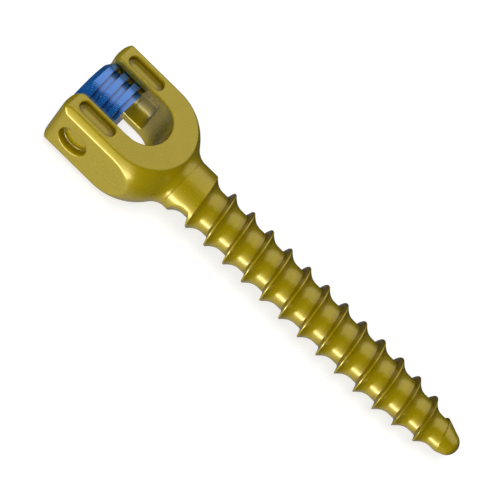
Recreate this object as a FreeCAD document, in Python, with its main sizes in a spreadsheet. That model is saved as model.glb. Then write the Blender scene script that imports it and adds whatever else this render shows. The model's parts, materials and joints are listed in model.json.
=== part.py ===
# Pedicle screw with a fixed U-shaped head, and the set screw that clamps a rod in it.
# The screw lies on its side: +X runs from the head to the tip, +Z is up, sizes are in millimetres.
import FreeCAD, Part
import math
import os
import Sketcher

Vector = FreeCAD.Vector

doc = FreeCAD.newDocument("pedicle_screw")
sheet = doc.addObject("Spreadsheet::Sheet", "sizes")

sizes = {
    "total_length": 57.05,
    # head, measured from its open end
    "head_diameter": 13.9,
    "head_flat_thickness": 8.3,  # between the front and back flats
    "head_side_width": 12.3,  # between the two side flats
    "head_end_rounding": 1.4,  # where the side flats meet the open end
    "head_ball_place": 8.0,  # centre of the ball that closes the head
    "head_flats_length": 15.2,
    "neck_fillet_radius": 2.0,
    # rod slot, and the bore that the set screw turns in
    "slot_width": 6.3,
    "slot_depth": 10.5,
    "slot_mouth_radius": 1.15,
    "bore_diameter": 8.7,
    "bore_depth": 7.35,
    # grip grooves on the front and back flats, a grip hole in each side
    "grip_groove_start": 1.4,
    "grip_groove_length": 4.9,
    "grip_groove_width": 1.5,
    "grip_groove_offset": 4.3,
    "grip_groove_depth": 0.8,
    "grip_hole_diameter": 3.7,
    "grip_hole_place": 3.43,
    "grip_hole_depth": 0.85,
    # shank, with lengths measured from the tip
    "shank_diameter": 6.5,
    "taper_length": 10.15,
    "knee_length": 5.05,
    "knee_diameter": 5.6,
    "nose_radius": 1.45,
    # bone thread
    "thread_pitch": 2.86,
    "thread_start": 15.2,
    "thread_start_angle": 62.0,
    "thread_runin_angle": 50.0,
    "core_diameter": 4.78,
    "core_taper_length": 9.65,
    "core_tip_diameter": 3.0,
    "crest_width": 0.18,
    "gentle_flank_run": 1.12,
    "gentle_flank_foot": 0.07,  # the groove's floor still falls from here to the steep flank
    "flank_hollow_run": 0.4,  # the gentle flank bends here
    "flank_hollow_height": 0.45,
    "steep_flank_run": 0.46,
    # set screw
    "set_screw_length": 5.16,
    "set_screw_clearance": 0.05,
    "set_screw_rim_run": 0.6,
    "set_screw_rim_drop": 0.85,
    "set_screw_chamfer": 0.6,
    "set_thread_pitch": 1.6,
    "set_thread_depth": 0.62,
    "set_thread_gap": 0.82,
    "set_thread_start": 0.59,
    "socket_across_flats": 4.0,
    "socket_depth": 3.0,
}
for row, (alias, number) in enumerate(sizes.items(), start=1):
    sheet.set("A%d" % row, alias)
    sheet.set("B%d" % row, str(number))
    sheet.setAlias("B%d" % row, alias)
doc.recompute()


def value(expression):
    return float(sheet.evalExpression(expression))


def size(alias):
    return float(sheet.get(alias))


# Sketches: each corner is pinned by expressions that read the sheet

def new_sketch(body, name, plane, lift=None, turn=None):
    sketch = body.newObject("Sketcher::SketchObject", name)
    origin_plane = next(item for item in body.Origin.OriginFeatures if item.Role == plane)
    sketch.AttachmentSupport = [(origin_plane, "")]
    sketch.MapMode = "FlatFace"
    if turn is not None:
        sketch.AttachmentOffset = FreeCAD.Placement(Vector(0, 0, 0), turn)
    if lift is not None:
        sketch.setExpression("AttachmentOffset.Base.z", lift)
    return sketch


def pin(sketch, edge, end, across, up):
    for kind, axis, place in (("DistanceX", -2, across), ("DistanceY", -1, up)):
        if place is None:
            continue
        if place == "0":
            sketch.addConstraint(Sketcher.Constraint("PointOnObject", edge, end, axis))
            continue
        index = sketch.addConstraint(Sketcher.Constraint(kind, -1, 1, edge, end, value(place)))
        sketch.setExpression("Constraints[%d]" % index, place)


def set_radius(sketch, edge, radius):
    index = sketch.addConstraint(Sketcher.Constraint("Radius", edge, value(radius)))
    sketch.setExpression("Constraints[%d]" % index, radius)


def draw_polygon(sketch, corners):
    points = [Vector(value(across), value(up), 0) for across, up in corners]
    first = sketch.GeometryCount
    count = len(points)
    for i in range(count):
        sketch.addGeometry(Part.LineSegment(points[i], points[(i + 1) % count]))
    for i in range(count):
        sketch.addConstraint(Sketcher.Constraint("Coincident", first + i, 2, first + (i + 1) % count, 1))
        pin(sketch, first + i, 1, *corners[i])


def draw_circle(sketch, across, up, radius):
    centre = Vector(value(across), value(up), 0)
    edge = sketch.addGeometry(Part.Circle(centre, Vector(0, 0, 1), value(radius)))
    set_radius(sketch, edge, radius)
    if across == "0" and up == "0":
        sketch.addConstraint(Sketcher.Constraint("Coincident", edge, 3, -1, 1))
    else:
        pin(sketch, edge, 3, across, up)


def arc(centre, radius, begin, end):
    turn = Vector(0, 0, 1)
    return Part.ArcOfCircle(Part.Circle(Vector(*centre, 0), turn, radius), begin, end)


def segment(a, b):
    return Part.LineSegment(Vector(*a, 0), Vector(*b, 0))


def cut_pocket(body, name, sketch, length, flip=False, both_ways=False):
    feature = body.newObject("PartDesign::Pocket", name)
    feature.Profile = sketch
    feature.setExpression("Length", length)
    feature.Reversed = flip
    feature.Midplane = both_ways
    sketch.Visibility = False
    doc.recompute()
    return feature


def mirror_cut(body, name, feature, plane):
    mirrored = body.newObject("PartDesign::Mirrored", name)
    mirrored.Originals = [feature]
    origin_plane = next(item for item in body.Origin.OriginFeatures if item.Role == plane)
    mirrored.MirrorPlane = (origin_plane, [""])
    body.Tip = mirrored
    doc.recompute()


# Bone screw: turned from one bar, then milled

blank = doc.addObject("PartDesign::Body", "screw_blank")


def draw_turned_profile(sketch):
    head_radius = size("head_diameter") / 2
    fillet = size("neck_fillet_radius")
    shank = size("shank_diameter") / 2
    length = size("total_length")
    nose = size("nose_radius")
    ball_centre = (size("head_ball_place"), 0)
    lean = math.asin((shank + fillet) / (head_radius + fillet))
    fillet_centre = (ball_centre[0] + (head_radius + fillet) * math.cos(lean), shank + fillet)
    knee = (length - size("knee_length"), size("knee_diameter") / 2)
    nose_centre = (length - nose, 0)
    reach = math.hypot(knee[0] - nose_centre[0], knee[1])
    touch = math.atan2(knee[1], knee[0] - nose_centre[0]) - math.acos(nose / reach)
    touch_point = (nose_centre[0] + nose * math.cos(touch), nose * math.sin(touch))
    taper_start = (length - size("taper_length"), shank)
    outline = [
        segment((0, 0), (0, head_radius)),
        segment((0, head_radius), (ball_centre[0], head_radius)),
        arc(ball_centre, head_radius, lean, math.pi / 2),
        arc(fillet_centre, fillet, math.pi + lean, 1.5 * math.pi),
        segment((fillet_centre[0], shank), taper_start),
        segment(taper_start, knee),
        segment(knee, touch_point),
        arc(nose_centre, nose, 0, touch),
        segment((length, 0), (0, 0)),
    ]
    for edge in outline:
        sketch.addGeometry(edge)
    top, side, ball_arc, fillet_arc, shank_line, taper, tip_taper, nose_arc, axis = range(9)
    joints = [
        ("Coincident", axis, 2, top, 1),
        ("Coincident", top, 2, side, 1),
        ("Tangent", side, 2, ball_arc, 2),
        ("Tangent", ball_arc, 1, fillet_arc, 1),
        ("Tangent", fillet_arc, 2, shank_line, 1),
        ("Coincident", shank_line, 2, taper, 1),
        ("Coincident", taper, 2, tip_taper, 1),
        ("Tangent", tip_taper, 2, nose_arc, 2),
        ("Coincident", nose_arc, 1, axis, 1),
        ("Coincident", axis, 2, -1, 1),
        ("Vertical", top),
        ("Horizontal", side),
        ("Horizontal", shank_line),
        ("PointOnObject", nose_arc, 3, -1),
    ]
    for joint in joints:
        sketch.addConstraint(Sketcher.Constraint(*joint))
    set_radius(sketch, fillet_arc, "sizes.neck_fillet_radius")
    set_radius(sketch, nose_arc, "sizes.nose_radius")
    pin(sketch, side, 2, "sizes.head_ball_place", "sizes.head_diameter / 2")
    pin(sketch, shank_line, 2, "sizes.total_length - sizes.taper_length", "sizes.shank_diameter / 2")
    pin(sketch, taper, 2, "sizes.total_length - sizes.knee_length", "sizes.knee_diameter / 2")
    pin(sketch, axis, 1, "sizes.total_length", "0")


profile = new_sketch(blank, "turned_profile", "XZ_Plane")
draw_turned_profile(profile)
turned = blank.newObject("PartDesign::Revolution", "turned")
turned.Profile = profile
turned.ReferenceAxis = (profile, ["H_Axis"])
turned.Angle = 360
profile.Visibility = False
doc.recompute()

# The milled section of the head is a rectangle; the bar's roundness is left at its corners
flats = new_sketch(blank, "head_section", "YZ_Plane")
half_width = "sizes.head_side_width / 2"
half_thickness = "sizes.head_flat_thickness / 2"
outside = "sizes.head_diameter"
draw_polygon(flats, [("-" + outside, "-" + outside), (outside, "-" + outside),
                     (outside, outside), ("-" + outside, outside)])
draw_polygon(flats, [("-" + half_width, "-" + half_thickness), (half_width, "-" + half_thickness),
                     (half_width, half_thickness), ("-" + half_width, half_thickness)])
cut_pocket(blank, "head_flats", flats, "sizes.head_flats_length", flip=True)


def draw_end_corner(sketch):
    rounding = size("head_end_rounding")
    side_flat = size("head_side_width") / 2
    outline = [
        arc((rounding, side_flat - rounding), rounding, math.pi / 2, math.pi),
        segment((0, side_flat - rounding), (-rounding, side_flat - rounding)),
        segment((-rounding, side_flat - rounding), (-rounding, side_flat + rounding)),
        segment((-rounding, side_flat + rounding), (rounding, side_flat + rounding)),
        segment((rounding, side_flat + rounding), (rounding, side_flat)),
    ]
    for edge in outline:
        sketch.addGeometry(edge)
    for edge in range(len(outline)):
        following = (edge + 1) % len(outline)
        sketch.addConstraint(Sketcher.Constraint("Coincident", edge, 2, following, 1))
    pin(sketch, 0, 3, "sizes.head_end_rounding", half_width + " - sizes.head_end_rounding")
    pin(sketch, 1, 1, "0", half_width + " - sizes.head_end_rounding")
    pin(sketch, 2, 1, "-sizes.head_end_rounding", half_width + " - sizes.head_end_rounding")
    pin(sketch, 3, 1, "-sizes.head_end_rounding", half_width + " + sizes.head_end_rounding")
    pin(sketch, 4, 1, "sizes.head_end_rounding", half_width + " + sizes.head_end_rounding")
    sketch.addConstraint(Sketcher.Constraint("Vertical", 4))


end_corner = new_sketch(blank, "end_corner_outline", "XY_Plane")
draw_end_corner(end_corner)
end_corner_cut = cut_pocket(blank, "end_corner", end_corner, "2 * sizes.head_diameter", both_ways=True)
mirror_cut(blank, "other_end_corner", end_corner_cut, "XZ_Plane")


def draw_rod_slot(sketch):
    half = size("slot_width") / 2
    mouth = size("slot_mouth_radius")
    centre = size("slot_depth") - half
    left = -mouth
    outline = [
        segment((left, -half - mouth), (0, -half - mouth)),
        arc((mouth, -half - mouth), mouth, math.pi / 2, math.pi),
        segment((mouth, -half), (centre, -half)),
        arc((centre, 0), half, -math.pi / 2, math.pi / 2),
        segment((centre, half), (mouth, half)),
        arc((mouth, half + mouth), mouth, math.pi, 1.5 * math.pi),
        segment((0, half + mouth), (left, half + mouth)),
        segment((left, half + mouth), (left, -half - mouth)),
    ]
    for edge in outline:
        sketch.addGeometry(edge)
    joints = [
        ("Coincident", 0, 2, 1, 2),
        ("Tangent", 1, 1, 2, 1),
        ("Tangent", 2, 2, 3, 1),
        ("Tangent", 3, 2, 4, 1),
        ("Tangent", 4, 2, 5, 2),
        ("Coincident", 5, 1, 6, 1),
        ("Coincident", 6, 2, 7, 1),
        ("Coincident", 7, 2, 0, 1),
        ("PointOnObject", 3, 3, -1),
        ("PointOnObject", 0, 2, -2),
        ("PointOnObject", 6, 1, -2),
        ("Horizontal", 1, 2, 1, 3),
        ("Horizontal", 5, 1, 5, 3),
        ("Horizontal", 2),
        ("Horizontal", 4),
        ("Horizontal", 0),
        ("Horizontal", 6),
        ("Vertical", 7),
        ("Equal", 1, 5),
    ]
    for joint in joints:
        sketch.addConstraint(Sketcher.Constraint(*joint))
    set_radius(sketch, 1, "sizes.slot_mouth_radius")
    set_radius(sketch, 3, "sizes.slot_width / 2")
    pin(sketch, 3, 3, "sizes.slot_depth - sizes.slot_width / 2", None)
    pin(sketch, 0, 1, "-sizes.slot_mouth_radius", None)


rod_slot = new_sketch(blank, "rod_slot_outline", "XY_Plane")
draw_rod_slot(rod_slot)
cut_pocket(blank, "rod_slot", rod_slot, "2 * sizes.head_diameter", both_ways=True)

bore = new_sketch(blank, "bore_circle", "YZ_Plane")
draw_circle(bore, "0", "0", "sizes.bore_diameter / 2")
cut_pocket(blank, "set_screw_bore", bore, "sizes.bore_depth", flip=True)


def draw_grip_groove(sketch, side):
    radius = "sizes.grip_groove_width / 2"
    offset = side + "sizes.grip_groove_offset"
    first = "sizes.grip_groove_start + sizes.grip_groove_width / 2"
    last = "sizes.grip_groove_start + sizes.grip_groove_length - sizes.grip_groove_width / 2"
    r, y, x1, x2 = value(radius), value(offset), value(first), value(last)
    base = sketch.GeometryCount
    for edge in (arc((x1, y), r, math.pi / 2, 1.5 * math.pi), segment((x1, y - r), (x2, y - r)),
                 arc((x2, y), r, -math.pi / 2, math.pi / 2), segment((x2, y + r), (x1, y + r))):
        sketch.addGeometry(edge)
    for a, a_end, b, b_end in ((0, 2, 1, 1), (1, 2, 2, 1), (2, 2, 3, 1), (3, 2, 0, 1)):
        sketch.addConstraint(Sketcher.Constraint("Tangent", base + a, a_end, base + b, b_end))
    set_radius(sketch, base, radius)
    pin(sketch, base, 3, first, offset)
    pin(sketch, base + 2, 3, last, offset)


grooves = new_sketch(blank, "grip_groove_outlines", "XY_Plane", lift=half_thickness)
draw_grip_groove(grooves, "")
draw_grip_groove(grooves, "-")
front_grooves = cut_pocket(blank, "front_grooves", grooves, "sizes.grip_groove_depth")
mirror_cut(blank, "back_grooves", front_grooves, "XY_Plane")

hole = new_sketch(blank, "grip_hole_circle", "XZ_Plane", lift=half_width)
draw_circle(hole, "sizes.grip_hole_place", "0", "sizes.grip_hole_diameter / 2")
grip_hole = cut_pocket(blank, "grip_hole", hole, "sizes.grip_hole_depth")
mirror_cut(blank, "other_grip_hole", grip_hole, "XZ_Plane")

# Bone thread: the gap between crests is one helical groove, whose floor follows the core.
# Angles run from the front flat's normal towards -Y, so a rising angle and a rising X are right-handed.
HELIX_STEP = 30
CUTTER_OVERRUN = 0.15

pitch = size("thread_pitch")
start_angle = size("thread_start_angle")
thread_depth = (size("shank_diameter") - size("core_diameter")) / 2
core_taper_start = size("total_length") - size("core_taper_length")
core_tip_fall = (size("core_diameter") - size("core_tip_diameter")) / 2
core_slope = core_tip_fall / (size("core_taper_length") - size("nose_radius"))


def floor_radius(angle):
    middle = size("thread_start") + pitch * ((angle - start_angle) / 360 + 0.5)
    radius = size("core_diameter") / 2 - core_slope * max(0, middle - core_taper_start)
    share = min(max((angle - start_angle) / size("thread_runin_angle"), 0), 1)
    lift = (thread_depth + CUTTER_OVERRUN) * (1 - share * share * (3 - 2 * share))
    return radius + lift


def groove_section():
    half_crest = size("crest_width") / 2
    gentle = size("gentle_flank_run")
    steep = size("steep_flank_run")
    hollow_run = size("flank_hollow_run")
    hollow_height = size("flank_hollow_height")
    upper_lean = hollow_run / (thread_depth - hollow_height)
    steep_lean = steep / thread_depth
    return [
        (half_crest - upper_lean * CUTTER_OVERRUN, thread_depth + CUTTER_OVERRUN),
        (half_crest + hollow_run, hollow_height),
        (half_crest + gentle, size("gentle_flank_foot")),
        (pitch - half_crest - steep, 0),
        (pitch - half_crest + steep_lean * CUTTER_OVERRUN, thread_depth + CUTTER_OVERRUN),
    ]


def helical_edge(along, height, first, last):
    points = []
    for step in range(first, last + 1):
        angle = start_angle + step * HELIX_STEP
        x = size("thread_start") + step * HELIX_STEP / 360 * pitch + along
        radius = floor_radius(angle) + height
        turn = math.radians(angle)
        points.append(Vector(x, -radius * math.sin(turn), radius * math.cos(turn)))
    curve = Part.BSplineCurve()
    curve.interpolate(Points=points, Parameters=[float(step) for step in range(first, last + 1)])
    return curve.toShape()


def groove_turn(first, last):
    edges = [helical_edge(along, height, first, last) for along, height in groove_section()]
    faces = [Part.makeRuledSurface(edges[i], edges[(i + 1) % len(edges)]) for i in range(len(edges))]
    for end in (0, -1):
        corners = [edge.Vertexes[end].Point for edge in edges]
        faces.append(Part.Face(Part.makePolygon(corners + corners[:1])))
    turn = Part.makeSolid(Part.makeShell(faces))
    if turn.Volume < 0:
        turn.reverse()
    return turn


steps_per_turn = 360 // HELIX_STEP
thread_steps = math.ceil((size("total_length") - size("thread_start")) / pitch * steps_per_turn)
groove_turns = [
    groove_turn(first, min(first + steps_per_turn, thread_steps))
    for first in range(0, thread_steps, steps_per_turn)
]
screw_body = doc.addObject("Part::Feature", "screw_body")
screw_body.Label = "screw_body"
screw_body.Shape = blank.Shape.cut(groove_turns)

# Set screw: turned plug with a right-handed thread and a hexagon socket in its outer end

set_screw = doc.addObject("PartDesign::Body", "set_screw")
set_screw.Label = "set_screw"
plug_radius = "(sizes.bore_diameter / 2 - sizes.set_screw_clearance)"

plug_profile = new_sketch(set_screw, "plug_profile", "XZ_Plane")
draw_polygon(plug_profile, [
    ("0", "0"),
    ("0", plug_radius + " - sizes.set_screw_rim_drop"),
    ("sizes.set_screw_rim_run", plug_radius),
    ("sizes.set_screw_length - sizes.set_screw_chamfer", plug_radius),
    ("sizes.set_screw_length", plug_radius + " - sizes.set_screw_chamfer"),
    ("sizes.set_screw_length", "0"),
])
plug = set_screw.newObject("PartDesign::Revolution", "plug")
plug.Profile = plug_profile
plug.ReferenceAxis = (plug_profile, ["H_Axis"])
plug.Angle = 360
plug_profile.Visibility = False
doc.recompute()

socket = new_sketch(set_screw, "socket_hexagon", "YZ_Plane")
half_flats = "sizes.socket_across_flats / 2"
hexagon = []
for corner in range(6):
    hexagon.append(("%s / cos(30) * cos(%d)" % (half_flats, 60 * corner + 30),
                    "%s / cos(30) * sin(%d)" % (half_flats, 60 * corner + 30)))
for corner in (1, 4):
    hexagon[corner] = ("0", hexagon[corner][1])
draw_polygon(socket, hexagon)
cut_pocket(set_screw, "drive_socket", socket, "sizes.socket_depth", flip=True)

# The thread starts on the -Y side, where the head's arm covers its first turn
gap = new_sketch(set_screw, "thread_gap", "XY_Plane", turn=FreeCAD.Rotation(Vector(1, 0, 0), 180))
gap_start = "(sizes.set_thread_start - sizes.set_thread_gap / 2)"
gap_end = "(sizes.set_thread_start + sizes.set_thread_gap / 2)"
gap_floor = plug_radius + " - sizes.set_thread_depth"
gap_top = plug_radius + " + sizes.set_thread_depth / 2"
draw_polygon(gap, [(gap_start, gap_floor), (gap_end, gap_floor), (gap_end, gap_top), (gap_start, gap_top)])
thread = set_screw.newObject("PartDesign::SubtractiveHelix", "set_thread")
thread.Profile = gap
thread.ReferenceAxis = (gap, ["H_Axis"])
thread.Mode = 0
thread.setExpression("Pitch", "sizes.set_thread_pitch")
thread.setExpression("Height", "sizes.set_screw_length")
gap.Visibility = False
doc.recompute()


# Rest pose: the back flat's lower end and one crest near the tip touch the ground

def floor_slope(points):
    flat = -size("head_flat_thickness") / 2
    flat_end = max(point.x for point in points if point.z < flat + 0.01)
    return min((point.z - flat) / (point.x - flat_end) for point in points if point.x > 2 * flat_end)


surface_points = screw_body.Shape.tessellate(0.01)[0]
lean = FreeCAD.Rotation(Vector(0, 1, 0), math.degrees(math.atan(floor_slope(surface_points))))
resting = [lean.multVec(point) for point in surface_points]
lowest = Vector(*(min(point[axis] for point in resting) for axis in range(3)))
highest = Vector(*(max(point[axis] for point in resting) for axis in range(3)))
base = FreeCAD.Placement(Vector(-(lowest.x + highest.x) / 2, -(lowest.y + highest.y) / 2, -lowest.z), lean)
screw_body.Placement = base
set_screw.Placement = base
doc.recompute()

# Checks and export

for item in doc.Objects:
    faults = {"Invalid", "Error"} & set(item.State)
    if faults:
        raise RuntimeError("%s: %s" % (item.Name, ", ".join(faults)))
os.makedirs("parts", exist_ok=True)
for piece in (screw_body, set_screw):
    if piece.Shape.isNull() or not piece.Shape.isValid() or len(piece.Shape.Solids) != 1:
        raise RuntimeError("%s has no single valid solid" % piece.Label)
    piece.Shape.exportStep("parts/%s.step" % piece.Label)
    box = piece.Shape.BoundBox
    print("%s: %.2f x %.2f x %.2f mm, %.1f mm3"
          % (piece.Label, box.XLength, box.YLength, box.ZLength, piece.Shape.Volume))
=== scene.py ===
import json
import math

import bmesh
import bpy
from mathutils import Matrix, Vector


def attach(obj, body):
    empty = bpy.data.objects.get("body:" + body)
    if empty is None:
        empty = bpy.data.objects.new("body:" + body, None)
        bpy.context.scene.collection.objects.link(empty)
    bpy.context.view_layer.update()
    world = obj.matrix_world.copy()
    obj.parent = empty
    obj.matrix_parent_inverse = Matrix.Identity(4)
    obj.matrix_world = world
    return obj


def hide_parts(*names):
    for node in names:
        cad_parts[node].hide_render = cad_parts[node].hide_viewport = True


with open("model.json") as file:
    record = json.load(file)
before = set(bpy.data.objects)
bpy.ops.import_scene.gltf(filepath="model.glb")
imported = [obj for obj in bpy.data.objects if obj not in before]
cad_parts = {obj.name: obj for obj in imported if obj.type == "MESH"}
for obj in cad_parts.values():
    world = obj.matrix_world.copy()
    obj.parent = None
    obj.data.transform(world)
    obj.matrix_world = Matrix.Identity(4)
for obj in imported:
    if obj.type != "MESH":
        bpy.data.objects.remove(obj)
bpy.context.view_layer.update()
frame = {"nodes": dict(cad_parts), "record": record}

# Pedicle screw lying on a white floor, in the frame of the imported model. Sizes of the pieces and the camera
# are in millimetres, those of the finishes and the studio in metres.
mm = 0.001
scene = bpy.context.scene
scene.view_settings.view_transform = "Standard"

# The screw's own frame: its origin on the head's open end, +X down its axis, +Z out of the front flat
socketMount = next(mount for mount in frame["record"]["mounts"] if mount["name"] == "drive_socket")
axisDown = -Vector(socketMount["axis"]).normalized()
screwFrame = Matrix((axisDown, (0, 1, 0), axisDown.cross((0, 1, 0)))).transposed().to_4x4()
screwFrame.translation = Vector(socketMount["pos_m"])
print("frame loaded, screw axis", [round(part, 4) for part in axisDown])


# Node helpers

def addNode(tree, kind, values=None, **settings):
    node = tree.nodes.new(kind)
    for name, value in settings.items():
        setattr(node, name, value)
    for socket, value in (values or {}).items():
        if isinstance(value, bpy.types.NodeSocket):
            tree.links.new(value, node.inputs[socket])
        else:
            node.inputs[socket].default_value = value
    return node


def newGroup(name, inputs, outputs):
    tree = bpy.data.node_groups.new(name, "ShaderNodeTree")
    for label, kind, value in inputs:
        socket = tree.interface.new_socket(name=label, in_out="INPUT", socket_type=kind)
        if value is not None:
            socket.default_value = value
    for label, kind in outputs:
        tree.interface.new_socket(name=label, in_out="OUTPUT", socket_type=kind)
    return tree, tree.nodes.new("NodeGroupInput"), tree.nodes.new("NodeGroupOutput")


effects = {
    "cloudDetail": 4.0,
    "cloudRange": (0.35, 0.7),  # of the noise, from one tone to the other
    "edgeSamples": 6,
    # edgeRange makes the mask for the painted highlight along edges
    "edgeRange": (0.99, 0.85),  # agreement of the rounded and the plain normal, from flat to edge
    "grainDetail": 2.0,
    "grainDepth": 0.01 * mm,
    # cornerSamples and cornerRange make the painted shade in inner corners
    "cornerSamples": 8,
    "cornerRange": (0.97, 0.62),  # openness, from flat to inner corner
    # steepRange and gentleRange make the painted shade on the thread's flanks
    "steepRange": (-0.35, -0.75),  # the normal's share along the axis, from floor to flank
    "gentleRange": (0.5, 0.72),
}


def rangeNode(tree, value, limits, most=1.0):
    return addNode(tree, "ShaderNodeMapRange",
                   {"Value": value, "From Min": limits[0], "From Max": limits[1], "To Max": most})


def mixColours(tree, share, first, second):
    return addNode(tree, "ShaderNodeMix", {"Factor": share, "A": first, "B": second}, data_type="RGBA")


# Anodised colour drifts a little over the surface
def filmDriftGroup():
    tree, given, result = newGroup(
        "filmDrift",
        [("Tone", "NodeSocketColor", None), ("Drift Tone", "NodeSocketColor", None),
         ("Patch Size", "NodeSocketFloat", 2.0 * mm), ("Amount", "NodeSocketFloat", 0.5)],
        [("Color", "NodeSocketColor"), ("Roughness Drift", "NodeSocketFloat")])
    place = addNode(tree, "ShaderNodeTexCoord")
    density = addNode(tree, "ShaderNodeMath", {0: 1.0, 1: given.outputs["Patch Size"]}, operation="DIVIDE")
    clouds = addNode(tree, "ShaderNodeTexNoise",
                     {"Vector": place.outputs["Object"], "Scale": density.outputs[0],
                      "Detail": effects["cloudDetail"]})
    spread = rangeNode(tree, clouds.outputs["Fac"], effects["cloudRange"])
    share = addNode(tree, "ShaderNodeMath", {0: spread.outputs[0], 1: given.outputs["Amount"]},
                    operation="MULTIPLY")
    tone = mixColours(tree, share.outputs[0], given.outputs["Tone"], given.outputs["Drift Tone"])
    tree.links.new(tone.outputs["Result"], result.inputs["Color"])
    tree.links.new(spread.outputs[0], result.inputs["Roughness Drift"])
    return tree


# Edges look slightly rounded, over a faint grain, and the Edge mask marks where a painted highlight makes
# them paler
def brokenEdgeGroup():
    tree, given, result = newGroup(
        "brokenEdge",
        [("Radius", "NodeSocketFloat", 0.1 * mm), ("Grain Size", "NodeSocketFloat", 0.1 * mm),
         ("Grain Height", "NodeSocketFloat", 0.05)],
        [("Normal", "NodeSocketVector"), ("Edge", "NodeSocketFloat")])
    place = addNode(tree, "ShaderNodeTexCoord")
    rounded = addNode(tree, "ShaderNodeBevel", {"Radius": given.outputs["Radius"]},
                      samples=effects["edgeSamples"])
    facet = addNode(tree, "ShaderNodeNewGeometry")
    agreement = addNode(tree, "ShaderNodeVectorMath",
                        {0: rounded.outputs["Normal"], 1: facet.outputs["Normal"]}, operation="DOT_PRODUCT")
    # mask for the painted highlight along edges
    edge = rangeNode(tree, agreement.outputs["Value"], effects["edgeRange"])
    density = addNode(tree, "ShaderNodeMath", {0: 1.0, 1: given.outputs["Grain Size"]}, operation="DIVIDE")
    grain = addNode(tree, "ShaderNodeTexNoise",
                    {"Vector": place.outputs["Object"], "Scale": density.outputs[0],
                     "Detail": effects["grainDetail"]})
    bump = addNode(tree, "ShaderNodeBump",
                   {"Strength": given.outputs["Grain Height"], "Distance": effects["grainDepth"],
                    "Height": grain.outputs["Fac"], "Normal": rounded.outputs["Normal"]})
    tree.links.new(bump.outputs["Normal"], result.inputs["Normal"])
    tree.links.new(edge.outputs[0], result.inputs["Edge"])
    return tree


# Painted shade: inner corners are coloured darker, by ambient occlusion
def paintedCornerShadeGroup():
    tree, given, result = newGroup(
        "paintedCornerShade",
        [("Color", "NodeSocketColor", None), ("Corner Shade Tone", "NodeSocketColor", None),
         ("Reach", "NodeSocketFloat", 0.5 * mm), ("Amount", "NodeSocketFloat", 0.5)],
        [("Color", "NodeSocketColor")])
    openness = addNode(tree, "ShaderNodeAmbientOcclusion", {"Distance": given.outputs["Reach"]},
                       samples=effects["cornerSamples"], only_local=True)
    depth = rangeNode(tree, openness.outputs["AO"], effects["cornerRange"], given.outputs["Amount"])
    shaded = mixColours(tree, depth.outputs[0], given.outputs["Color"], given.outputs["Corner Shade Tone"])
    tree.links.new(shaded.outputs["Result"], result.inputs["Color"])
    return tree


# Painted shade: flanks of the bone thread are coloured darker than its floor, by how far their normal leans
# along the axis
def paintedFlankShadeGroup():
    tree, given, result = newGroup(
        "paintedFlankShade",
        [("Color", "NodeSocketColor", None), ("Flank Shade Tone", "NodeSocketColor", None),
         ("Axis", "NodeSocketVector", None), ("Steep Amount", "NodeSocketFloat", 0.5),
         ("Gentle Amount", "NodeSocketFloat", 0.2)],
        [("Color", "NodeSocketColor")])
    facet = addNode(tree, "ShaderNodeNewGeometry")
    lean = addNode(tree, "ShaderNodeVectorMath", {0: facet.outputs["Normal"], 1: given.outputs["Axis"]},
                   operation="DOT_PRODUCT")
    steep = rangeNode(tree, lean.outputs["Value"], effects["steepRange"], given.outputs["Steep Amount"])
    gentle = rangeNode(tree, lean.outputs["Value"], effects["gentleRange"], given.outputs["Gentle Amount"])
    share = addNode(tree, "ShaderNodeMath", {0: steep.outputs[0], 1: gentle.outputs[0]}, operation="ADD")
    shaded = mixColours(tree, share.outputs[0], given.outputs["Color"], given.outputs["Flank Shade Tone"])
    tree.links.new(shaded.outputs["Result"], result.inputs["Color"])
    return tree


filmDrift = filmDriftGroup()
paintedFlankShade = paintedFlankShadeGroup()
paintedCornerShade = paintedCornerShadeGroup()
brokenEdge = brokenEdgeGroup()

goldFinish = {
    "name": "goldTitanium",
    "tone": (0.510, 0.384, 0.0010, 1),
    "driftTone": (0.440, 0.326, 0.0008, 1),
    # painted highlight: the paler colour along edges
    "edgeHighlightTone": (0.680, 0.560, 0.040, 1),
    # painted shade: the tone for inner corners and the thread's flanks, then the corner shade's reach and
    # share and the flank shade's shares
    "paintedShadeTone": (0.200, 0.130, 0.0004, 1),
    "cornerShadeReach": 0.8 * mm,
    "cornerShadeShare": 0.9,
    "steepShadeShare": 0.0,
    "gentleShadeShare": 0.0,
    "patchSize": 2.5 * mm,
    "driftShare": 0.5,
    "edgeRadius": 0.16 * mm,
    "edgeHighlightShare": 0.6,
    "grainSize": 0.1 * mm,
    "grainHeight": 0.05,
    "roughness": (0.24, 0.30),
    "metallic": 0.5,
    "filmWeight": 1.0,
    "filmRoughness": 0.12,
    "filmIor": 1.7,
}
# The bone thread has the same film, with painted shade on its flanks
threadFinish = dict(goldFinish, name="goldThread", cornerShadeReach=0.9 * mm, steepShadeShare=0.8, gentleShadeShare=0.5)
blueFinish = {
    "name": "blueTitanium",
    "tone": (0.012, 0.275, 0.990, 1),
    "driftTone": (0.008, 0.240, 0.950, 1),
    # painted highlight: the paler colour along edges
    "edgeHighlightTone": (0.100, 0.420, 0.950, 1),
    # painted shade: the tone for inner corners and the thread's flanks, then the corner shade's reach and
    # share and the flank shade's shares
    "paintedShadeTone": (0.001, 0.020, 0.220, 1),
    "cornerShadeReach": 0.4 * mm,
    "cornerShadeShare": 0.75,
    "steepShadeShare": 0.0,
    "gentleShadeShare": 0.0,
    "patchSize": 1.8 * mm,
    "driftShare": 0.5,
    "edgeRadius": 0.09 * mm,
    "edgeHighlightShare": 0.5,
    "grainSize": 0.1 * mm,
    "grainHeight": 0.0,
    "roughness": (0.14, 0.20),
    "metallic": 0.7,
    "filmWeight": 1.0,
    "filmRoughness": 0.12,
    "filmIor": 2.6,
}


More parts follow.
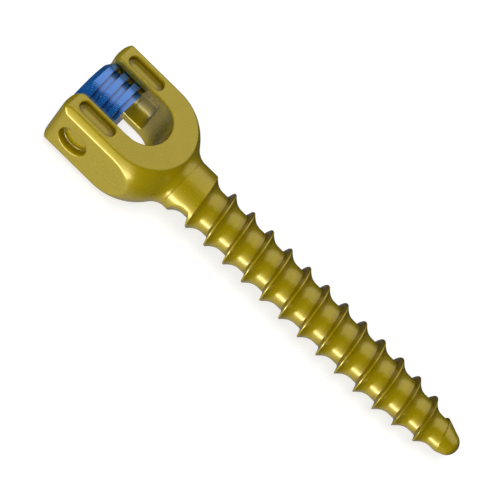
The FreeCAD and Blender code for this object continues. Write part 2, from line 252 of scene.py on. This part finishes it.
def anodisedMetal(finish):
    material = bpy.data.materials.new(finish["name"])
    material.use_nodes = True
    tree = material.node_tree
    shader = tree.nodes["Principled BSDF"]
    drift = addNode(tree, "ShaderNodeGroup",
                    {"Tone": finish["tone"], "Drift Tone": finish["driftTone"],
                     "Patch Size": finish["patchSize"], "Amount": finish["driftShare"]},
                    node_tree=filmDrift)
    edges = addNode(tree, "ShaderNodeGroup",
                    {"Radius": finish["edgeRadius"], "Grain Size": finish["grainSize"],
                     "Grain Height": finish["grainHeight"]}, node_tree=brokenEdge)
    # Painted highlight: edges are coloured paler
    edgeHighlightShare = addNode(tree, "ShaderNodeMath", {0: edges.outputs["Edge"], 1: finish["edgeHighlightShare"]},
                        operation="MULTIPLY")
    colour = mixColours(tree, edgeHighlightShare.outputs[0], drift.outputs["Color"], finish["edgeHighlightTone"])
    # Painted shade: inner corners are coloured darker
    corners = addNode(tree, "ShaderNodeGroup",
                      {"Color": colour.outputs["Result"], "Corner Shade Tone": finish["paintedShadeTone"],
                       "Reach": finish["cornerShadeReach"], "Amount": finish["cornerShadeShare"]}, node_tree=paintedCornerShade)
    # Painted shade: the thread's flanks are coloured darker by their lean along the axis
    flanks = addNode(tree, "ShaderNodeGroup",
                     {"Color": corners.outputs["Color"], "Flank Shade Tone": finish["paintedShadeTone"], "Axis": axisDown,
                      "Steep Amount": finish["steepShadeShare"], "Gentle Amount": finish["gentleShadeShare"]},
                     node_tree=paintedFlankShade)
    low, high = finish["roughness"]
    roughness = addNode(tree, "ShaderNodeMapRange",
                        {"Value": drift.outputs["Roughness Drift"], "To Min": low, "To Max": high})
    tree.links.new(flanks.outputs["Color"], shader.inputs["Base Color"])
    tree.links.new(roughness.outputs[0], shader.inputs["Roughness"])
    tree.links.new(edges.outputs["Normal"], shader.inputs["Normal"])
    shader.inputs["Metallic"].default_value = finish["metallic"]
    shader.inputs["Coat Weight"].default_value = finish["filmWeight"]
    shader.inputs["Coat Roughness"].default_value = finish["filmRoughness"]
    shader.inputs["Coat IOR"].default_value = finish["filmIor"]
    return material


goldTitanium = anodisedMetal(goldFinish)
goldThread = anodisedMetal(threadFinish)
blueTitanium = anodisedMetal(blueFinish)
setScrew = frame["nodes"]["set_screw"]
setScrew.data.materials.clear()
setScrew.data.materials.append(blueTitanium)
print("materials ready")


# Head: the solid's own head with its edges rounded, down to the plain stretch below the neck

headShape = {
    "cutPlace": 15.0,  # from the open end
    "weld": 0.0005,
    "voxel": 0.105,
    "smoothing": 8,
    "smoothFactor": 0.5,
    "halfThickness": 4.15,  # of the head, between its front and back flats
    "endRounding": 1.4,  # of the arms' ends, seen from the side
    "roundingAngles": (12, 30, 48, 66, 82),
}


def finishPiece(name, mesh, material, body):
    mesh.materials.clear()
    mesh.materials.append(material)
    mesh.update()
    piece = bpy.data.objects.new(name, mesh)
    scene.collection.objects.link(piece)
    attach(piece, body)
    return piece


def cutAway(shape, place, outward):
    everything = shape.verts[:] + shape.edges[:] + shape.faces[:]
    cut = bmesh.ops.bisect_plane(shape, geom=everything, plane_co=place, plane_no=outward, clear_outer=True)
    return [part for part in cut["geom_cut"] if isinstance(part, bmesh.types.BMEdge)]


def makeHead():
    given = headShape
    shape = bmesh.new()
    shape.from_mesh(frame["nodes"]["screw_body"].data)
    shape.transform(Matrix.Scale(1 / mm, 4) @ screwFrame.inverted())
    bmesh.ops.remove_doubles(shape, verts=shape.verts, dist=given["weld"])
    rim = cutAway(shape, (given["cutPlace"], 0, 0), (1, 0, 0))
    bmesh.ops.contextual_create(shape, geom=rim)
    radius = given["endRounding"]
    for side in (-1, 1):
        centre = Vector((radius, 0, side * (given["halfThickness"] - radius)))
        for angle in given["roundingAngles"]:
            outward = Vector((-math.cos(math.radians(angle)), 0, side * math.sin(math.radians(angle))))
            rim = cutAway(shape, centre + outward * radius, outward)
            bmesh.ops.holes_fill(shape, edges=rim, sides=0)
    blankMesh = bpy.data.meshes.new("headBlank")
    shape.to_mesh(blankMesh)
    shape.free()
    blank = bpy.data.objects.new("headBlank", blankMesh)
    scene.collection.objects.link(blank)
    remesh = blank.modifiers.new("grid", "REMESH")
    remesh.mode = "VOXEL"
    remesh.voxel_size = given["voxel"]
    soften = blank.modifiers.new("soften", "SMOOTH")
    soften.factor = given["smoothFactor"]
    soften.iterations = given["smoothing"]
    evaluated = blank.evaluated_get(bpy.context.evaluated_depsgraph_get())
    rounded = bpy.data.meshes.new_from_object(evaluated)
    bpy.data.objects.remove(blank)
    bpy.data.meshes.remove(blankMesh)
    rounded.name = "screw_head"
    rounded.transform(screwFrame @ Matrix.Scale(mm, 4))
    rounded.shade_smooth()
    piece = finishPiece("screw_head", rounded, goldTitanium, "screw")
    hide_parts("screw_body")
    print("head:", len(rounded.polygons), "faces")


# Shank: the bone thread is one helical groove with a hollow flank, cut into a tapering bar

shank = {
    "startPlace": 14.2,  # from the head's open end; it is hidden inside the head's lower end
    "endPlace": 57.05,
    "sunkLength": 0.8,  # over this length its start rises to the neck's surface
    "sunkDepth": 0.02,
    "radius": 3.25,
    "taperPlace": 46.9,
    "kneePlace": 52.0,
    "kneeRadius": 2.8,
    "noseRadius": 1.45,
    "pitch": 2.86,
    "threadPlace": 15.2,
    "threadAngle": 62.0,  # from the front flat's normal towards -Y
    "runInAngle": 50.0,
    "coreRadius": 2.39,
    "coreTaperPlace": 47.4,
    "coreTipRadius": 1.5,
    "crestShare": 0.03,  # half of the crest's width, as a share of the pitch
    "crestDrop": 0.022,  # from the crest's middle to its rims
    "crestPower": 3,
    "flankEnd": 0.60,
    "flankPower": 2.2,
    "steepStart": 0.83,
    "steepPower": 2.2,
    "weld": 0.002,
    "stepsPerTurn": 72,
    "columns": [0, 0.018, 0.030, 0.045, 0.065, 0.09, 0.12, 0.16, 0.21, 0.27, 0.34, 0.42, 0.50, 0.58,
                0.66, 0.74, 0.83, 0.86, 0.885, 0.905, 0.925, 0.945, 0.97, 0.982],  # shares of the pitch
}


def barRadius(along):
    given = shank
    if along <= given["taperPlace"]:
        return given["radius"]
    if along <= given["kneePlace"]:
        share = (along - given["taperPlace"]) / (given["kneePlace"] - given["taperPlace"])
        return given["radius"] + (given["kneeRadius"] - given["radius"]) * share
    nose = given["noseRadius"]
    centre = given["endPlace"] - nose
    reach = math.hypot(given["kneePlace"] - centre, given["kneeRadius"])
    touch = math.atan2(given["kneeRadius"], given["kneePlace"] - centre) - math.acos(nose / reach)
    touchPlace = centre + nose * math.cos(touch)
    if along <= touchPlace:
        share = (along - given["kneePlace"]) / (touchPlace - given["kneePlace"])
        return given["kneeRadius"] + (nose * math.sin(touch) - given["kneeRadius"]) * share
    return math.sqrt(max(0.0, nose ** 2 - (along - centre) ** 2))


def grooveHeight(share, depth):
    given = shank
    crest, end, steep = given["crestShare"], given["flankEnd"], given["steepStart"]
    edge = min(share, 1 - share) / crest
    if edge <= 1:
        return depth - given["crestDrop"] * edge ** given["crestPower"]
    rim = depth - given["crestDrop"]
    if share < end:
        return rim * (1 - (share - crest) / (end - crest)) ** given["flankPower"]
    if share > steep:
        return rim * ((share - steep) / (1 - crest - steep)) ** given["steepPower"]
    return 0.0


def shankRadius(turnAngle, share):
    given = shank
    angle = turnAngle - given["threadAngle"]
    along = given["threadPlace"] + given["pitch"] * (angle / 360 + share)
    along = min(max(along, given["startPlace"]), given["endPlace"])
    bar = barRadius(along)
    if angle < 0:
        sunk = max(0.0, 1 - (along - given["startPlace"]) / given["sunkLength"])
        return along, bar - given["sunkDepth"] * sunk
    middle = given["threadPlace"] + given["pitch"] * (angle / 360 + 0.5)
    noseStart = given["endPlace"] - given["noseRadius"]
    coreSlope = (given["coreRadius"] - given["coreTipRadius"]) / (noseStart - given["coreTaperPlace"])
    core = given["coreRadius"] - coreSlope * max(0.0, middle - given["coreTaperPlace"])
    depth = given["radius"] - given["coreRadius"]
    runIn = min(angle / given["runInAngle"], 1)
    core += depth * (1 - runIn * runIn * (3 - 2 * runIn))
    return along, min(bar, core + grooveHeight(share, depth))


def makeShank():
    given = shank
    perTurn = given["stepsPerTurn"]
    before = math.ceil((given["threadPlace"] + given["pitch"] - given["startPlace"]) / given["pitch"])
    after = math.ceil((given["endPlace"] - given["threadPlace"]) / given["pitch"])
    columns = given["columns"]
    count = len(columns)
    first = -before * perTurn
    total = (before + after + 1) * perTurn
    points, faces = [], []
    for step in range(total + 1):
        turnAngle = given["threadAngle"] + 360 * (first + step) / perTurn
        turned = math.radians(turnAngle)
        for share in columns:
            along, radius = shankRadius(turnAngle, share)
            points.append((along, -radius * math.sin(turned), radius * math.cos(turned)))
    for step in range(total):
        for column in range(count):
            a = step * count + column
            b = a + 1 if column + 1 < count else (step + perTurn) * count
            if b + count < len(points):
                faces.append((a, a + count, b + count, b))
    shape = bmesh.new()
    corners = [shape.verts.new(point) for point in points]
    for face in faces:
        shape.faces.new([corners[corner] for corner in face])
    bmesh.ops.remove_doubles(shape, verts=shape.verts, dist=given["weld"])
    loose = [corner for corner in shape.verts if not corner.link_faces]
    bmesh.ops.delete(shape, geom=loose, context="VERTS")
    openEdges = [edge for edge in shape.edges if edge.is_boundary]
    bmesh.ops.contextual_create(shape, geom=openEdges)
    bmesh.ops.recalc_face_normals(shape, faces=shape.faces)
    shape.transform(screwFrame @ Matrix.Scale(mm, 4))
    mesh = bpy.data.meshes.new("screw_shank")
    shape.to_mesh(mesh)
    shape.free()
    mesh.shade_smooth()
    piece = finishPiece("screw_shank", mesh, goldThread, "screw")
    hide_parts("screw_body")
    print("shank:", len(mesh.polygons), "faces, open edges", len(openEdges))


makeHead()
makeShank()


# Thread in the head's arms, in mesh with the set screw

headThread = {
    "pitch": 1.6,
    "firstCentre": 0.59,  # where the set screw's first gap starts, from the open end
    "firstAngle": 90.0,  # and at what angle, from the front flat's normal towards -Y
    "rootRadius": 4.37,
    "crestRadius": 3.76,
    "rootWidth": 0.70,
    "crestWidth": 0.42,
    "slotHalfWidth": 3.15,
    "stepAngle": 4.0,
    "setBack": 8.0,  # degrees between the slot's wall and a ridge's end
    "turns": 5,
    "shortTurns": 2,  # so many first turns start at firstAngle, since the set screw can stand a turn deeper
    "lastPlace": 5.9,
}


def threadRidge(centreAngle, turn, points, faces):
    given = headThread
    spreadIn = math.degrees(math.acos(given["slotHalfWidth"] / given["crestRadius"])) - given["setBack"]
    first, last = centreAngle - spreadIn, centreAngle + spreadIn
    start = given["firstCentre"] + given["pitch"] * turn
    if turn < given["shortTurns"]:
        first = max(first, given["firstAngle"])
    steps = max(2, round((last - first) / given["stepAngle"]))
    root, crest = given["rootRadius"], given["crestRadius"]
    halfRoot, halfCrest = given["rootWidth"] / 2, given["crestWidth"] / 2
    section = ((root, -halfRoot), (crest, -halfCrest), (crest, halfCrest), (root, halfRoot))
    base = len(points)
    for step in range(steps + 1):
        angle = first + (last - first) * step / steps
        along = start + given["pitch"] * (angle - given["firstAngle"]) / 360
        turned = math.radians(angle)
        for radius, offset in section:
            points.append((mm * (along + offset), -mm * radius * math.sin(turned),
                           mm * radius * math.cos(turned)))
    corners = len(section)
    for step in range(steps):
        for corner in range(corners):
            a = base + step * corners + corner
            b = base + step * corners + (corner + 1) % corners
            faces.append((a, b, b + corners, a + corners))
    faces.append(tuple(base + corner for corner in reversed(range(corners))))
    faces.append(tuple(base + steps * corners + corner for corner in range(corners)))


def makeHeadThread(name, centreAngle):
    given = headThread
    points, faces = [], []
    for turn in range(given["turns"]):
        middle = given["firstCentre"] + given["pitch"] * (turn + (centreAngle - given["firstAngle"]) / 360)
        if given["rootWidth"] / 2 < middle < given["lastPlace"]:
            threadRidge(centreAngle, turn, points, faces)
    mesh = bpy.data.meshes.new(name)
    mesh.from_pydata([screwFrame @ Vector(point) for point in points], [], faces)
    mesh.validate()
    finishPiece(name, mesh, goldTitanium, "screw")


makeHeadThread("arm_thread_left", 90.0)
makeHeadThread("arm_thread_right", 270.0)
print("head thread made")


# Camera at the photograph's viewing angle

cameraView = {
    "azimuth": -0.73,
    "elevation": 57.18,
    "roll": 44.17,
    "distance": 209.0,  # from the lens to the point aimed at
    "pixelsPerMm": 9.149,
    "aimPixel": (273.37, 267.0),
    "aimPoint": (0.0, 0.0, 4.5),
    "imageSize": 500,
    "sensorWidth": 36.0,
    "clipStart": 10.0,
}


def addCamera():
    given = cameraView
    azimuth, elevation, roll = (math.radians(given[key]) for key in ("azimuth", "elevation", "roll"))
    back = Vector((math.sin(azimuth) * math.cos(elevation), -math.cos(azimuth) * math.cos(elevation),
                   math.sin(elevation)))
    level = Vector((0, 0, 1)).cross(back).normalized()
    lift = back.cross(level)
    right = math.cos(roll) * level + math.sin(roll) * lift
    up = math.cos(roll) * lift - math.sin(roll) * level
    half = given["imageSize"] / 2
    aside = (given["aimPixel"][0] - half) / given["pixelsPerMm"]
    below = (given["aimPixel"][1] - half) / given["pixelsPerMm"]
    place = Vector(given["aimPoint"]) + back * given["distance"] - right * aside + up * below
    data = bpy.data.cameras.new("photoCamera")
    data.sensor_width = given["sensorWidth"]
    data.lens = given["sensorWidth"] * given["distance"] * given["pixelsPerMm"] / given["imageSize"]
    data.clip_start = given["clipStart"] * mm
    camera = bpy.data.objects.new("photoCamera", data)
    camera.matrix_world = Matrix((right, up, back)).transposed().to_4x4()
    camera.location = place * mm
    scene.collection.objects.link(camera)
    scene.camera = camera


addCamera()
print("camera set")


# Studio: what the metal mirrors depends on the angle round the X axis, and white is for the camera alone

studio = {
    "ramp": [(-180, 0.15), (-150, 0.20), (-120, 0.25), (-105, 0.4), (-95, 0.6), (-86, 1.2), (-81, 2.0),
             (-78, 6.0), (-70, 6.0), (-66, 2.2), (-58, 1.2), (-50, 0.5), (-38, 0.22), (-25, 0.06),
             (5, 0.01), (22, 0.03), (30, 0.20), (40, 0.47), (60, 0.54), (80, 0.58), (98, 0.52),
             (108, 0.18), (116, 0.04), (145, 0.01), (162, 0.02), (180, 0.15)],  # (degrees, level)
    "brightest": 6.0,
    "ends": 0.01,  # level of the room beyond the screw's head and tip
    "lampReach": (0.40, 0.62),  # size of a direction's X part over which the low lamp fades
    "ceilingReach": (0.75, 0.93),  # and over which the pale ceiling does
    "fills": [
        {"strength": 1.75, "azimuth": 0.0, "elevation": 82.0, "softness": 35.0},
        {"strength": 1.25, "azimuth": -20.0, "elevation": 25.0, "softness": 50.0},
    ],
    "zeroElevation": 57.18,  # of the ramp's zero above the horizon, on the -Y side
    "floorHeight": -0.00002,
    "floorSize": 3.0,
    "floorGlow": 0.72,
    "floorMatte": 0.35,
}


def makeWorld():
    world = bpy.data.worlds.new("studio")
    scene.world = world
    world.use_nodes = True
    tree = world.node_tree
    tree.nodes.clear()
    zero = math.radians(studio["zeroElevation"])
    towards = (0.0, -math.cos(zero), math.sin(zero))
    above = (0.0, math.sin(zero), math.cos(zero))
    direction = addNode(tree, "ShaderNodeTexCoord").outputs["Generated"]
    ahead = addNode(tree, "ShaderNodeVectorMath", {0: direction, 1: towards}, operation="DOT_PRODUCT")
    aside = addNode(tree, "ShaderNodeVectorMath", {0: direction, 1: above}, operation="DOT_PRODUCT")
    angle = addNode(tree, "ShaderNodeMath", {0: aside.outputs["Value"], 1: ahead.outputs["Value"]},
                    operation="ARCTAN2")
    place = rangeNode(tree, angle.outputs[0], (-math.pi, math.pi))
    ramp = addNode(tree, "ShaderNodeValToRGB", {"Fac": place.outputs[0]})
    stops = ramp.color_ramp.elements
    for index, (degrees, level) in enumerate(studio["ramp"]):
        position = (degrees + 180) / 360
        stop = stops[index] if index < 2 else stops.new(position)
        stop.position = position
        share = level / studio["brightest"]
        stop.color = (share, share, share, 1)
    onAxis = addNode(tree, "ShaderNodeVectorMath", {0: direction, 1: (1, 0, 0)}, operation="DOT_PRODUCT")
    alongAxis = addNode(tree, "ShaderNodeMath", {0: onAxis.outputs["Value"]}, operation="ABSOLUTE")
    lampFade = rangeNode(tree, alongAxis.outputs[0], studio["lampReach"])
    ceilingFade = rangeNode(tree, alongAxis.outputs[0], studio["ceilingReach"])
    overhead = addNode(tree, "ShaderNodeMath", {0: angle.outputs[0], 1: 0.0}, operation="GREATER_THAN")
    fade = addNode(tree, "ShaderNodeMix",
                   {"Factor": overhead.outputs[0], "A": lampFade.outputs[0], "B": ceilingFade.outputs[0]})
    endLevel = studio["ends"] / studio["brightest"]
    room = mixColours(tree, fade.outputs[0], ramp.outputs["Color"], (endLevel,) * 3 + (1,))
    lit = addNode(tree, "ShaderNodeBackground",
                  {"Color": room.outputs["Result"], "Strength": studio["brightest"]})
    white = addNode(tree, "ShaderNodeBackground", {"Color": (1, 1, 1, 1), "Strength": 1.0})
    ray = addNode(tree, "ShaderNodeLightPath")
    mixed = addNode(tree, "ShaderNodeMixShader",
                    {"Fac": ray.outputs["Is Camera Ray"], 1: lit.outputs[0], 2: white.outputs[0]})
    output = addNode(tree, "ShaderNodeOutputWorld")
    tree.links.new(mixed.outputs[0], output.inputs["Surface"])


# Soft lamps that only fill: the metal doesn't mirror them
def makeFills():
    for given in studio["fills"]:
        elevation, azimuth = math.radians(given["elevation"]), math.radians(given["azimuth"])
        data = bpy.data.lights.new("softFill", "SUN")
        data.energy = given["strength"]
        data.angle = math.radians(given["softness"])
        lamp = bpy.data.objects.new("softFill", data)
        away = Vector((math.sin(azimuth) * math.cos(elevation), -math.cos(azimuth) * math.cos(elevation),
                       math.sin(elevation)))
        lamp.rotation_euler = away.to_track_quat("Z", "Y").to_euler()
        lamp.visible_glossy = False
        scene.collection.objects.link(lamp)


def makeFloor():
    half = studio["floorSize"] / 2
    height = studio["floorHeight"]
    mesh = bpy.data.meshes.new("floor")
    corners = ((-half, -half), (half, -half), (half, half), (-half, half))
    mesh.from_pydata([corner + (height,) for corner in corners], [], [(0, 1, 2, 3)])
    floor = bpy.data.objects.new("floor", mesh)
    scene.collection.objects.link(floor)
    material = bpy.data.materials.new("whiteFloor")
    material.use_nodes = True
    tree = material.node_tree
    tree.nodes.clear()
    glow = addNode(tree, "ShaderNodeEmission", {"Color": (1, 1, 1, 1), "Strength": studio["floorGlow"]})
    matte = addNode(tree, "ShaderNodeBsdfDiffuse", {"Color": (studio["floorMatte"],) * 3 + (1,)})
    both = addNode(tree, "ShaderNodeAddShader", {0: glow.outputs[0], 1: matte.outputs[0]})
    output = addNode(tree, "ShaderNodeOutputMaterial")
    tree.links.new(both.outputs[0], output.inputs["Surface"])
    mesh.materials.append(material)
    floor.visible_glossy = False
    floor.visible_shadow = False


makeWorld()
makeFills()
makeFloor()
print("studio ready")
